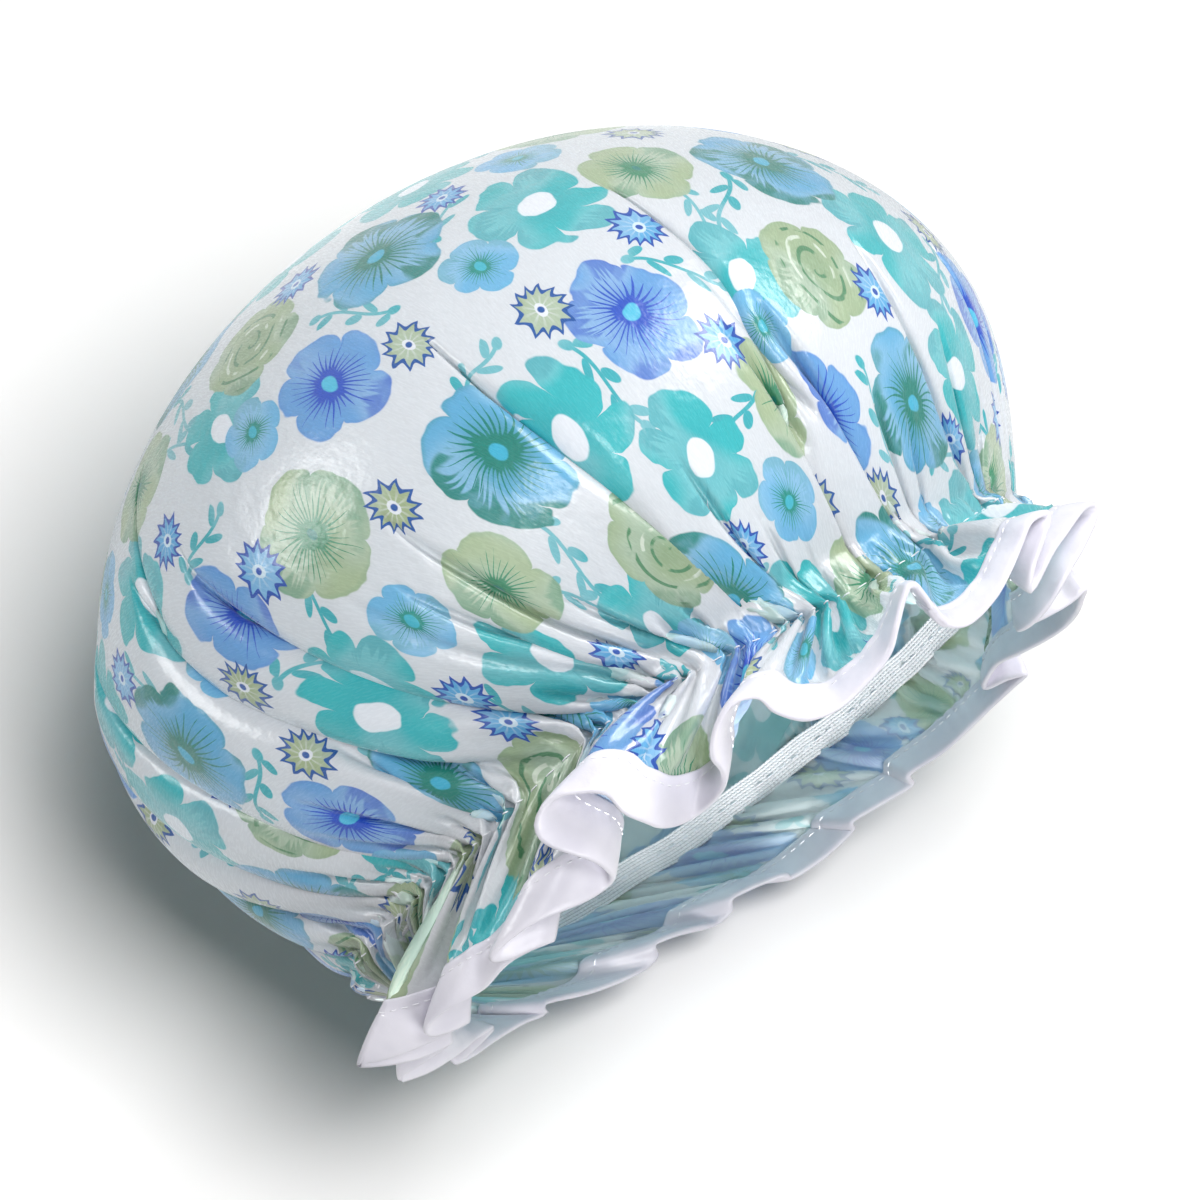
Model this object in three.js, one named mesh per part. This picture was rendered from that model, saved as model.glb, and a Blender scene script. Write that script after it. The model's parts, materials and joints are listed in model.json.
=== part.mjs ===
// A gathered shower cap, lying on its side and puffed up as for display. Millimetres, +Z up.
// The floor is z = 0, the mouth faces -Y, and the top of the crown points along +Y, tilted up a little.
//
// The cap has its own measures, which place() turns into the part's frame: an angle round the gather
// line, from +X over the top; a height above the plane of the gather line, towards the crown's top;
// and an inset, how far a surface lies inside the outer face of the cloth.

import * as THREE from "three";

// Driving dimensions: the gather line, and the puffed crown above it
const RING_HALF_WIDTH = 90;
const RING_HALF_HEIGHT = 82;
const CROWN_HALF_WIDTH = 108;
const CROWN_HALF_HEIGHT = 103;
const WIDEST_AT = 54;
const CROWN_HEIGHT = 139;
const CROWN_LEAN = 1.5; // the widest part sits this far along X from the gather line's centre

// The gather line bows out towards the mouth here: angle in degrees, half its span, and how far
const BOWS = [
  { at: 70, span: 45, by: 5.8 },
  { at: 140, span: 28, by: 2.2 },
];

// How the cap lies
const RING_CENTRE_Z = 88;
const TILT = THREE.MathUtils.degToRad(9.3);

// Cloth, lining and the gap between neighbouring layers
const CLOTH = 1.0;
const LINING = 0.6;
const GAP = 0.3;

// Pleats of the crown: as deep as this below their ridges, from the gather line up to where they fade
const PLEATS = 24;
const PLEAT_DEPTH = 4.2;
const PLEAT_FULL_AT = 16;
const PLEAT_GONE_AT = 98;

// Frill: its length from the gather line to the outside of its binding, and its waves. A wave's crest
// stands away from the cap's axis, and its trough runs on along the axis.
const FRILL_LENGTH = 27;
const CREST_ANGLES = [2, 26, 54, 84, 111, 134, 157, 182, 207, 232, 258, 284, 309, 335];
const CREST_FLARE = THREE.MathUtils.degToRad(58);
const TROUGH_FLARE = THREE.MathUtils.degToRad(6);
const FLOOR_CREST_FLARE = THREE.MathUtils.degToRad(-8); // the floor holds the waves in there
const FLOOR_TROUGH_FLARE = THREE.MathUtils.degToRad(-42);

// Elastic, its seam thread and the tack over its joined ends
const COLLAR = 3.6; // the cloth runs straight this far each way from the gather line, over the elastic
const ELASTIC_WIDTH = 6.5;
const ELASTIC = 0.8;
const THREAD = 0.6;
const TACK_ANGLE = 200;
const TACK_LENGTH = 7;
const TACK_STITCHES = 6;

// Edge binding: a tape folded over the cloth and the lining
const BINDING_WIDTH = 8;
const TAPE = 0.7;

// Fineness of the solids
const CROWN_COLUMNS = 3 * PLEATS;
const TOP_COLUMNS = PLEATS;
const COLUMNS_PER_WAVE = 7;
const FRILL_COLUMNS = COLUMNS_PER_WAVE * CREST_ANGLES.length;

// Insets of the faces of each layer, from the outer face of the cloth inwards
const CLOTH_INSIDE = CLOTH;
const LINING_OUTSIDE = CLOTH_INSIDE + GAP;
const LINING_INSIDE = LINING_OUTSIDE + LINING;
const ELASTIC_OUTSIDE = LINING_INSIDE + GAP;
const ELASTIC_INSIDE = ELASTIC_OUTSIDE + ELASTIC;
const TAPE_OUTSIDE = -GAP - TAPE;

const TURN = 2 * Math.PI;
const { degToRad, euclideanModulo, lerp, radToDeg, smoothstep } = THREE.MathUtils;

// A point from its distance across (+X), its distance up from the axis, and its height on the axis.
function place(across, up, height) {
  return new THREE.Vector3(
    across,
    height * Math.cos(TILT) - up * Math.sin(TILT),
    RING_CENTRE_Z + up * Math.cos(TILT) + height * Math.sin(TILT),
  );
}

// How far the cap's surface at an angle and a height moves towards the mouth, where the gather line bows
function bowAt(angle, height) {
  const fade = 1 - smoothstep(height, COLLAR, WIDEST_AT);
  return BOWS.reduce((sum, { at, span, by }) => {
    const away = euclideanModulo(radToDeg(angle) - at + 180, 360) - 180;
    return Math.abs(away) < span ? sum + fade * by * Math.cos((Math.PI * away) / span / 2) ** 2 : sum;
  }, 0);
}

// The floor flattens whatever would hang through it, each layer resting on the one below.
function onFloor(point, clearance) {
  point.z = Math.max(point.z, clearance);
  return point;
}

// Half width, half height and sideways shift of the puffed crown at a height on the axis. Above its
// widest part the crown is half an ellipsoid, and an inset there goes in along its slope.
function crownSection(height, inset) {
  if (height > WIDEST_AT) {
    const rise = (height - WIDEST_AT) / (CROWN_HEIGHT - WIDEST_AT);
    const share = Math.sqrt(Math.max(0, 1 - rise * rise));
    return {
      halfWidth: (CROWN_HALF_WIDTH - inset) * share,
      halfHeight: (CROWN_HALF_HEIGHT - inset) * share,
      shift: CROWN_LEAN,
      drop: inset * rise,
    };
  }
  const climb = THREE.MathUtils.clamp((height - COLLAR) / (WIDEST_AT - COLLAR), 0, 1);
  const share = Math.sin((climb * Math.PI) / 2);
  return {
    halfWidth: lerp(RING_HALF_WIDTH, CROWN_HALF_WIDTH, share) - inset,
    halfHeight: lerp(RING_HALF_HEIGHT, CROWN_HALF_HEIGHT, share) - inset,
    shift: CROWN_LEAN * share,
    drop: 0,
  };
}

function pleatAt(height) {
  const rise = smoothstep(height, COLLAR, PLEAT_FULL_AT);
  return PLEAT_DEPTH * rise * (1 - smoothstep(height, PLEAT_FULL_AT, PLEAT_GONE_AT));
}

function crownPoint(angle, height, inset) {
  const { halfWidth, halfHeight, shift, drop } = crownSection(height, inset);
  const fold = -(2 / 3) * pleatAt(height) * Math.cos(PLEATS * angle);
  const across = shift + Math.cos(angle) * (halfWidth + fold);
  const up = Math.sin(angle) * (halfHeight + fold);
  return onFloor(place(across, up, height - drop - bowAt(angle, height)), inset);
}

// How far a frill column leans out from the axis. Columns are counted from the first crest.
function flareOf(column) {
  const phase = (column % COLUMNS_PER_WAVE) / COLUMNS_PER_WAVE;
  const nearFloor = smoothstep(-Math.sin(frillAngle(column)), 0, 0.8);
  const crest = lerp(CREST_FLARE, FLOOR_CREST_FLARE, nearFloor);
  const trough = lerp(TROUGH_FLARE, FLOOR_TROUGH_FLARE, nearFloor);
  return lerp(trough, crest, 0.5 + 0.5 * Math.cos(TURN * phase));
}

function frillAngle(column) {
  const wave = Math.floor(column / COLUMNS_PER_WAVE);
  const from = CREST_ANGLES[wave];
  const next = CREST_ANGLES[(wave + 1) % CREST_ANGLES.length];
  const to = next > from ? next : next + 360;
  return degToRad(lerp(from, to, (column % COLUMNS_PER_WAVE) / COLUMNS_PER_WAVE));
}

function frillPoint(column, along, inset) {
  const angle = frillAngle(column);
  const free = Math.max(0, along - COLLAR);
  const out = free * Math.sin(flareOf(column)) - inset;
  const height = -Math.min(along, COLLAR) - free * Math.cos(flareOf(column));
  const across = Math.cos(angle) * (RING_HALF_WIDTH + out);
  const up = Math.sin(angle) * (RING_HALF_HEIGHT + out);
  return onFloor(place(across, up, height - bowAt(angle, height)), inset - TAPE_OUTSIDE);
}

function ringPoint(angle, height, inset) {
  const across = Math.cos(angle) * (RING_HALF_WIDTH - inset);
  const up = Math.sin(angle) * (RING_HALF_HEIGHT - inset);
  return place(across, up, height - bowAt(angle, height));
}

const columns = (count) => Array.from({ length: count }, (_, column) => column);

// Joins rings of points, one after the other, into a closed body. A ring of one point is a pole, a
// ring may have a whole number of times the points of its neighbour, and a body with no poles
// closes from its last ring to its first. The row of a ring is its place on the cloth: faces are
// split from the lower row to the higher one, so that neighbouring layers are split alike.
function bodyFromRings(rings) {
  const points = rings.flatMap((ring) => ring.points);
  const sizes = rings.map((ring) => ring.points.length);
  const starts = sizes.map((_, i) => sizes.slice(0, i).reduce((sum, size) => sum + size, 0));
  const faces = [];
  const join = (fine, coarse, turned) => {
    const [many, few] = [sizes[fine], sizes[coarse]];
    const at = (ring, i) => starts[ring] + (i % sizes[ring]);
    const add = (a, b, c) => faces.push(...(turned ? [a, c, b] : [a, b, c]));
    for (let i = 0; i < few; i++) {
      const step = many / few;
      const middle = i * step + Math.ceil(step / 2);
      for (let k = i * step; k < (i + 1) * step; k++)
        add(at(fine, k), at(fine, k + 1), at(coarse, k < middle ? i : i + 1));
      if (few > 1) add(at(fine, middle), at(coarse, i + 1), at(coarse, i));
    }
  };
  const joins = sizes[0] === 1 ? rings.length - 1 : rings.length;
  for (let i = 0; i < joins; i++) {
    const next = (i + 1) % rings.length;
    const alike = sizes[i] === sizes[next];
    if (alike ? rings[i].row <= rings[next].row : sizes[i] > sizes[next]) join(i, next, false);
    else join(next, i, true);
  }
  const geometry = new THREE.BufferGeometry();
  geometry.setAttribute("position", new THREE.Float32BufferAttribute(points.flatMap((p) => p.toArray()), 3));
  geometry.setIndex(volumeInside(points, faces) < 0 ? faces.reverse() : faces);
  geometry.computeVertexNormals();
  return geometry;
}

// The volume that the faces enclose, negative where they face inwards
function volumeInside(points, faces) {
  let sum = 0;
  for (let i = 0; i < faces.length; i += 3) {
    const [a, b, c] = faces.slice(i, i + 3).map((k) => points[k]);
    sum += a.dot(b.clone().cross(c)) / 6;
  }
  return sum;
}

// Heights of the crown's rows: straight over the elastic, up to the widest part, then over the top
const LOWER_ROWS = [GAP / 2, COLLAR, 10, 22, 38, 56];
const UPPER_ROWS = [72, 52, 35, 18].map((fromTop, i) => ({
  height: WIDEST_AT + (CROWN_HEIGHT - WIDEST_AT) * Math.cos(degToRad(fromTop)),
  count: i === 0 ? CROWN_COLUMNS : TOP_COLUMNS,
}));

function crownShell(outside, inside) {
  const ring = (height, inset, count) => ({
    row: height,
    points: columns(count).map((column) => crownPoint((TURN * column) / count, height, inset)),
  });
  const face = (inset) => [
    ...LOWER_ROWS.map((height) => ring(height, inset, CROWN_COLUMNS)),
    ...UPPER_ROWS.map(({ height, count }) => ring(height, inset, count)),
    { row: CROWN_HEIGHT, points: [place(CROWN_LEAN, 0, CROWN_HEIGHT - inset)] },
  ];
  return bodyFromRings([...face(inside).reverse(), ...face(outside)]);
}

// A frill piece is one closed profile of [distance from the gather line, inset] swept round the cap.
function frillSweep(profile) {
  return bodyFromRings(
    profile.map(([along, inset]) => ({
      row: along,
      points: columns(FRILL_COLUMNS).map((column) => frillPoint(column, along, inset)),
    })),
  );
}

const TAPE_TOP = FRILL_LENGTH - BINDING_WIDTH;
const TAPE_FOLD = FRILL_LENGTH - TAPE;
const CLOTH_EDGE = TAPE_FOLD - GAP;
const FRILL_ROWS = [GAP / 2, COLLAR, 12, TAPE_TOP, CLOTH_EDGE];

function frillShell(outside, inside) {
  const down = FRILL_ROWS.map((along) => [along, outside]);
  const back = FRILL_ROWS.map((along) => [along, inside]).reverse();
  return frillSweep([...back, ...down]);
}

function bindingTape() {
  const outer = TAPE_OUTSIDE;
  const inner = LINING_INSIDE + GAP;
  return frillSweep([
    [TAPE_TOP, outer + TAPE],
    [TAPE_FOLD, outer + TAPE],
    [TAPE_FOLD, inner],
    [TAPE_TOP, inner],
    [TAPE_TOP, inner + TAPE],
    [TAPE_FOLD, inner + TAPE],
    [FRILL_LENGTH, inner],
    [FRILL_LENGTH, outer + TAPE],
    [TAPE_FOLD, outer],
    [TAPE_TOP, outer],
  ]);
}

// The seam thread lies on the inner face of the tape, along its upper edge.
function bindingThread() {
  const inset = LINING_INSIDE + GAP + TAPE + GAP;
  return frillSweep([
    [TAPE_TOP, inset],
    [TAPE_TOP + THREAD, inset],
    [TAPE_TOP + THREAD / 2, inset + THREAD],
  ]);
}

function bandSweep(profile) {
  return bodyFromRings(
    profile.map(([height, inset]) => ({
      row: height,
      points: columns(CROWN_COLUMNS).map((column) =>
        ringPoint((TURN * column) / CROWN_COLUMNS, height, inset),
      ),
    })),
  );
}

function elasticBand() {
  const half = ELASTIC_WIDTH / 2;
  return bandSweep([
    [-half, ELASTIC_INSIDE],
    [half, ELASTIC_INSIDE],
    [half, ELASTIC_OUTSIDE],
    [-half, ELASTIC_OUTSIDE],
  ]);
}

function gatherThread() {
  const inset = ELASTIC_INSIDE + GAP;
  return bandSweep([
    [-THREAD / 2, inset],
    [THREAD / 2, inset],
    [0, inset + THREAD],
  ]);
}

// A dense zigzag over the joined ends of the elastic, on its inner face above the seam thread
function joinTack() {
  const inset = ELASTIC_INSIDE + GAP + THREAD / 2;
  const low = THREAD;
  const high = ELASTIC_WIDTH / 2 - THREAD;
  const turns = columns(2 * TACK_STITCHES + 1).map((i) => {
    const along = (i / (2 * TACK_STITCHES) - 0.5) * TACK_LENGTH;
    const angle = degToRad(TACK_ANGLE) + along / RING_HALF_WIDTH;
    return ringPoint(angle, i % 2 ? high : low, inset);
  });
  const section = new THREE.Shape(
    columns(5).map((i) => new THREE.Vector2(THREAD / 2, 0).rotateAround(new THREE.Vector2(), (TURN * i) / 5)),
  );
  const extrudePath = new THREE.CatmullRomCurve3(turns, false, "centripetal");
  return new THREE.ExtrudeGeometry(section, { steps: 4 * TACK_STITCHES, extrudePath });
}

const MATERIALS = {
  cloth: { color: 0xb9cfdd, roughness: 0.42, metalness: 0 },
  lining: { color: 0xcfe0df, roughness: 0.3, metalness: 0 },
  elastic: { color: 0xd9d9dc, roughness: 0.75, metalness: 0 },
  tape: { color: 0xe9e7f0, roughness: 0.4, metalness: 0 },
  thread: { color: 0xf2f1f5, roughness: 0.6, metalness: 0 },
};

const PIECES = {
  crown_cloth: [crownShell(0, CLOTH_INSIDE), "cloth"],
  crown_lining: [crownShell(LINING_OUTSIDE, LINING_INSIDE), "lining"],
  frill_cloth: [frillShell(0, CLOTH_INSIDE), "cloth"],
  frill_lining: [frillShell(LINING_OUTSIDE, LINING_INSIDE), "lining"],
  elastic_band: [elasticBand(), "elastic"],
  elastic_join_tack: [joinTack(), "thread"],
  gather_seam_thread: [gatherThread(), "thread"],
  edge_binding: [bindingTape(), "tape"],
  binding_seam_thread: [bindingThread(), "thread"],
};

const cap = new THREE.Group();
for (const [name, [geometry, material]] of Object.entries(PIECES)) {
  const mesh = new THREE.Mesh(geometry, new THREE.MeshStandardMaterial(MATERIALS[material]));
  mesh.name = name;
  cap.add(mesh);
}

// The origin lies on the floor, in the middle of the cap.
const reach = new THREE.Box3().setFromObject(cap);
const middle = reach.getCenter(new THREE.Vector3());
cap.position.set(-middle.x, -middle.y, -reach.min.z);

export default cap;
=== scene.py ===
"""Shower cap: printed satin and a milky lining, gathered on an elastic, puffed up and lying on its side."""
import json
import math

import bpy
import numpy as np
from mathutils import Matrix, Vector


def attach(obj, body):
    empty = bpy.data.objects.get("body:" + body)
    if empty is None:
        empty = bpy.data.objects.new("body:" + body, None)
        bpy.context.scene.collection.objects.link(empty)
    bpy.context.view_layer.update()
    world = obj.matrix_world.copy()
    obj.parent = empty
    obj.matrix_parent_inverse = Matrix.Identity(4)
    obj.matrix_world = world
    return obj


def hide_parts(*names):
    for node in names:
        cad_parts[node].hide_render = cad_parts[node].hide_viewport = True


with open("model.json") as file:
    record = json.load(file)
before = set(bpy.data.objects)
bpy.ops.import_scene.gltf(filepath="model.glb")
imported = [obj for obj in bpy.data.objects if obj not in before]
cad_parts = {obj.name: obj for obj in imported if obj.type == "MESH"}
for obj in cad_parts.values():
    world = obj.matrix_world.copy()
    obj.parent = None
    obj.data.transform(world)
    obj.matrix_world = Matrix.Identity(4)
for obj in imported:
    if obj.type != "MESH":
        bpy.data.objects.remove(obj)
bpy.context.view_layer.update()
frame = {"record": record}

MM = 0.001
TURN = 2 * math.pi
BODY = "root"

# Camera: its direction, its distance, and the ring centre's place in the picture
VIEW_AZIMUTH = math.radians(-36.2)
VIEW_ELEVATION = math.radians(64.2)
VIEW_DISTANCE = 3.0
PICTURE = 1200
PIXEL = 0.00022
RING_AT = (694, 750)
SENSOR = 36

# Cap measures in mm: halves across it and up it, and heights above the gather line
RING_WIDE = 90.0
RING_TALL = 82.0
CROWN_WIDE = 108.0
CROWN_TALL = 103.0
WIDEST_AT = 54.0
CROWN_HEIGHT = 139.0
CROWN_LEAN = 1.5
COLLAR = 3.6
FRILL = 27.0
FLOOR_GAP = 0.9

# The gather line bows out towards the mouth here: angle in degrees, half its span, and how far
BOWS = [(70, 45, 5.8), (140, 28, 2.2)]

# The crown fills out sooner above the gather line here, in the same measures, up to a height of
# PUFF_TOP and most below its middle. The slack is what a thread gains in length there for each mm.
PUFFS = [(204, 52, 11.0), (30, 40, 2.0)]
PUFF_TOP = 96.0
PUFF_LOW = 0.62
PUFF_SLACK = 0.003

# Cloth: its hole at the apex, the film under it, and the zone that the binding stiffens
HOLE = 6.0
LINING_GAP = 0.35
STIFF_EDGE = 8.6

# Tucks of the crown: angle at the ring and lean at the top in degrees, the share of the way out from
# the apex at which each starts, and its weight. Each deepens over TUCK_FADE of the way, and near the
# ring the gathers take over.
TUCKS = [
    (2, -3, 0.72, 0.9), (17, -5, 0.8, 0.7), (34, -10, 0.68, 1.0), (54, -17, 0.7, 1.3),
    (67, -12, 0.8, 0.7), (79, -10, 0.52, 1.8), (91, -5, 0.84, 0.6), (102, -4, 0.58, 1.7),
    (113, 16, 0.84, 0.8), (130, -12, 0.84, 0.8), (139, 6, 0.54, 1.6), (148, 9, 0.48, 1.7),
    (160, 5, 0.84, 0.6), (173, 5, 0.62, 1.6), (186, 10, 0.72, 1.1), (203, 3, 0.66, 1.2),
    (221, 2, 0.76, 0.9), (240, 4, 0.64, 1.2), (260, 0, 0.76, 0.9), (279, -3, 0.64, 1.2),
    (299, 2, 0.74, 0.9), (318, -2, 0.64, 1.2), (340, 3, 0.76, 0.9),
]
TUCK_WIDTH = 2.6
TUCK_FADE = 0.16
LEAN_OVER = 0.4
LEAST_TUCKS = 2.5
NEAR_RING = (0.93, 0.985)
OVERLAP = 0.5
DIP_WIDTH, DIP = 10.0, 2.6
KNOT_WIDTH, KNOT_WAVE, KNOT_OUT, KNOT_DEPTH = 4.6, 3.1, 0.7, 2.6
GATHERS_ROUND, GATHERS_DEEP = 58, 0.35

# Underneath, the gathers keep this share of their depth: its angle and half its span in degrees
UNDER_ANGLE, UNDER_SPAN, UNDER_LEFT = 258, 80, 0.35

# Outer edge of the frill: angle round the ring and flare away from the cap's axis, in degrees
EDGE = [
    (-13, -26), (-15, -34), (-20, -41), (-10, -43), (-2, -35), (4, -27), (13, -14), (25, 0), (30, 8),
    (31, -2), (33, -9), (36, -20), (42, -16), (45, 0), (45, 14), (44, 27), (40, 40), (37, 53), (41, 56),
    (46, 50), (50, 44), (54, 31), (54, 42), (51, 54), (49, 62), (53, 64), (56, 57), (59, 48), (62, 40),
    (66, 35), (69, 38), (71, 46), (72, 58), (73, 67), (75, 62), (77, 52), (79, 41), (83, 32), (87, 26),
    (91, 29), (94, 42), (95, 53), (98, 57), (101, 50), (103, 38), (103, 26), (104, 13), (107, 1), (110, -2),
    (113, 12), (114, 26), (115, 40), (115, 53), (117, 62), (120, 69), (123, 66), (124, 57), (123, 44),
    (122, 32), (122, 20), (123, 8), (125, 3), (128, 12), (132, 26), (137, 32), (141, 31), (140, 22),
    (137, 12), (136, 3), (138, 14), (142, 20), (148, 18), (153, 25), (158, 26), (161, 19), (161, 8),
    (161, -4), (162, 8), (166, 24), (171, 43), (170, 33), (169, 16), (169, -4), (172, 10), (177, 20),
    (178, 8), (181, -10), (191, -27), (205, -37), (198, -27), (190, -14), (199, -22), (209, -31),
    (219, -36), (227, -37), (226, -42), (233, -41), (243, -36), (253, -33), (256, -37), (256, -43),
    (260, -42), (265, -38), (269, -33), (272, -35), (273, -41), (278, -39), (283, -34), (284, -29),
    (290, -27), (297, -30), (298, -35), (304, -32), (310, -28), (312, -35), (320, -31), (333, -30),
    (341, -28),
]

# What one degree round the ring and one degree of flare move the edge by, in mm
EDGE_MM_PER_DEGREE = (1.5, 0.52)

mouth = next(m for m in frame["record"]["mounts"] if m["name"] == "head_opening")
RING_CENTRE = np.array(mouth["pos_m"])
TILT = math.asin(-mouth["axis"][2])


def place(points):
    """Cap measures (across, up, height) in mm to the row frame in metres."""
    across, up, height = points[..., 0], points[..., 1], points[..., 2]
    forward = height * math.cos(TILT) - up * math.sin(TILT)
    raised = up * math.cos(TILT) + height * math.sin(TILT)
    return np.stack([across, forward, raised], -1) * MM + RING_CENTRE


def running(steps):
    """Lengths from the start, for steps along a path."""
    return np.r_[0, np.cumsum(steps)]


def unit(vectors):
    return vectors / (np.linalg.norm(vectors, axis=-1, keepdims=True) + 1e-9)


# The crown's target shape

def crown_section(height):
    """Half width, half height and sideways shift of the crown at a height."""
    dome = np.sqrt(1 - np.clip((height - WIDEST_AT) / (CROWN_HEIGHT - WIDEST_AT), 0, 1) ** 2)
    swell = np.sin(np.clip((height - COLLAR) / (WIDEST_AT - COLLAR), 0, 1) * math.pi / 2)
    upper = height > WIDEST_AT
    wide, tall = [
        np.where(upper, crown * dome, ring + (crown - ring) * swell)
        for ring, crown in ((RING_WIDE, CROWN_WIDE), (RING_TALL, CROWN_TALL))
    ]
    return wide, tall, CROWN_LEAN * np.where(upper, 1.0, swell)


def crown_meridian(samples=400):
    """Lengths along the cloth from the apex, and the heights that they reach."""
    angle = np.linspace(0, math.pi / 2, samples)
    low = np.linspace(WIDEST_AT, 0, samples)
    height = np.r_[WIDEST_AT + (CROWN_HEIGHT - WIDEST_AT) * np.cos(angle), low[1:]]
    wide = np.r_[CROWN_WIDE * np.sin(angle), crown_section(low)[0][1:]]
    return running(np.hypot(np.diff(height), np.diff(wide))), height


MERIDIAN = crown_meridian()
GATHER = float(MERIDIAN[0][-1])
EDGE_RADIUS = GATHER + FRILL

# How many times the shape's girth the cloth is, at lengths from the apex. What is over goes into folds.
FULLNESS = [(0, 1.0), (105, 1.015), (130, 1.07), (150, 1.16), (170, 1.26), (195, 1.42), (GATHER, 1.9)]


def smooth_step(value, low, high):
    share = np.clip((value - low) / (high - low), 0, 1)
    return share * share * (3 - 2 * share)


def turned_by(angle, degrees):
    """An angle less another, from minus to plus half a turn."""
    return (angle - math.radians(degrees) + math.pi) % TURN - math.pi


def rises(angle, places):
    """Smooth rises round the ring, each with its angle, half its span and its height."""
    total = 0
    for at, span, by in places:
        share = np.clip(turned_by(angle, at) / math.radians(span), -1, 1)
        total = total + by * np.cos(share * math.pi / 2) ** 2
    return total


def bow(angle, height=0.0):
    """How far the surface moves towards the mouth where the gather line bows."""
    return rises(angle, BOWS) * (1 - smooth_step(height, COLLAR, WIDEST_AT))


def puff(angle, height):
    """How far the crown stands out of its section where it fills out sooner."""
    share = np.clip((height - COLLAR) / (PUFF_TOP - COLLAR), 0, 1) ** PUFF_LOW
    return rises(angle, PUFFS) * np.sin(share * math.pi)


def knots(angle):
    """Gathers where the elastic holds the cloth, in mm out from the ring. They are slight underneath."""
    mean = (RING_WIDE + RING_TALL) / 2
    total = GATHERS_DEEP * np.cos(GATHERS_ROUND * angle + 2 * np.sin(3 * angle))
    share = np.clip(np.abs(turned_by(angle, UNDER_ANGLE)) / math.radians(UNDER_SPAN), 0, 1)
    for at, _, _, weight in TUCKS:
        away = turned_by(angle, at) * mean
        bunch = 1 / (1 + (away / (KNOT_WIDTH * weight)) ** 6)
        total = total + bunch * (KNOT_OUT + KNOT_DEPTH * np.cos(TURN * away / KNOT_WAVE))
    return total * (UNDER_LEFT + (1 - UNDER_LEFT) * share**4)


def row_folds(angle, reach, mean, fullness):
    """Folds of one row of the crown, out of it and along it, for cloth fullness times its girth."""
    shares = np.array([by * smooth_step(reach, start, start + TUCK_FADE) for _, _, start, by in TUCKS])
    hidden = TURN * mean * (fullness - 1) * shares / max(shares.sum(), LEAST_TUCKS)
    folds, dips = np.zeros_like(angle), np.zeros_like(angle)
    for (at, lean, start, weight), length in zip(TUCKS, hidden):
        flank = 1.2 * TUCK_WIDTH
        depth = math.sqrt((length / 2 + flank) ** 2 - flank**2)
        away = turned_by(angle, at + lean * (1 - reach) / LEAN_OVER) * mean
        folds -= depth * np.exp(-0.5 * (away / TUCK_WIDTH) ** 2)
        shown = smooth_step(reach, start - 0.1, start + 0.25)
        dips -= DIP * weight * shown * np.exp(-0.5 * (away / DIP_WIDTH) ** 2)
    near = smooth_step(reach, *NEAR_RING)
    folds *= 1 - near
    return folds + dips * (1 - near) + near * knots(angle), OVERLAP * folds


def crown_row(radius, columns):
    """One row of the crown with its tucks: its points, their angles and the spacing of its columns."""
    height = np.interp(radius, *MERIDIAN)
    wide, tall, shift = crown_section(height)
    mean = math.sqrt((wide**2 + tall**2) / 2)
    angle = np.linspace(0, TURN, 12 * columns + 1)
    fullness = np.interp(radius, *np.array(FULLNESS).T)
    folds, slide = row_folds(angle, radius / GATHER, mean, fullness)
    folds = folds + puff(angle, height)
    length = running(np.hypot(mean * np.diff(angle) + np.diff(slide), np.diff(folds)))
    even = np.interp(np.arange(columns) / columns * length[-1], length, angle)
    folds, slide = np.interp(even, angle, folds), np.interp(even, angle, slide)
    across = shift + np.cos(even) * (wide + folds) - np.sin(even) * slide
    upward = np.sin(even) * (tall + folds) + np.cos(even) * slide
    return np.stack([across, upward, height - bow(even, height)], -1), even, length[-1] / columns


# The frill's edge

def smooth_loop(points, samples):
    """A Catmull-Rom curve through points whose first value grows by one turn each time round."""
    points = np.array(points, float)
    turn = np.array([360.0, 0.0])
    around = np.vstack([points[-1:] - turn, points, points[:2] + turn])
    share = np.linspace(0, 1, samples, endpoint=False)[:, None]
    pieces = []
    for a, b, c, d in zip(around[:-3], around[1:-2], around[2:-1], around[3:]):
        square, cube = 2 * a - 5 * b + 4 * c - d, 3 * b - a - 3 * c + d
        pieces.append(0.5 * (2 * b + (c - a) * share + square * share**2 + cube * share**3))
    return np.vstack(pieces)


def frill_edge(angle):
    """Angle and flare of the frill's edge for cloth that leaves the ring at the given angles."""
    path = smooth_loop(EDGE, 24)
    count = len(path)
    wrapped = np.vstack([path, path[:1] + [360, 0]])
    length = running(np.hypot(*(np.diff(wrapped, axis=0) * EDGE_MM_PER_DEGREE).T))
    even = np.linspace(0, length[-1], count, endpoint=False)
    path = np.column_stack([np.interp(even, length, wrapped[:, k]) for k in (0, 1)])
    span = count // 12
    even_turn = 360 * np.arange(count) / count
    drift = path[:, 0] - even_turn
    window = np.hanning(2 * span + 1)
    mean = even_turn + np.convolve(np.r_[drift[-span:], drift, drift[:span]], window / window.sum(), "valid")
    thrice, turned = [np.r_[at - 360, at, at + 360] for at in (mean, path[:, 0])]
    thrice = np.maximum.accumulate(thrice + np.arange(len(thrice)) * 1e-6)
    return [np.radians(np.interp(np.degrees(angle), thrice, at)) for at in (turned, np.tile(path[:, 1], 3))]


def ring_frame(angle):
    """The gather line's point and its outward direction in cap measures."""
    outward = unit(np.stack([np.cos(angle) / RING_WIDE, np.sin(angle) / RING_TALL, 0 * angle], -1))
    return np.stack([RING_WIDE * np.cos(angle), RING_TALL * np.sin(angle), -bow(angle)], -1), outward


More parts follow.
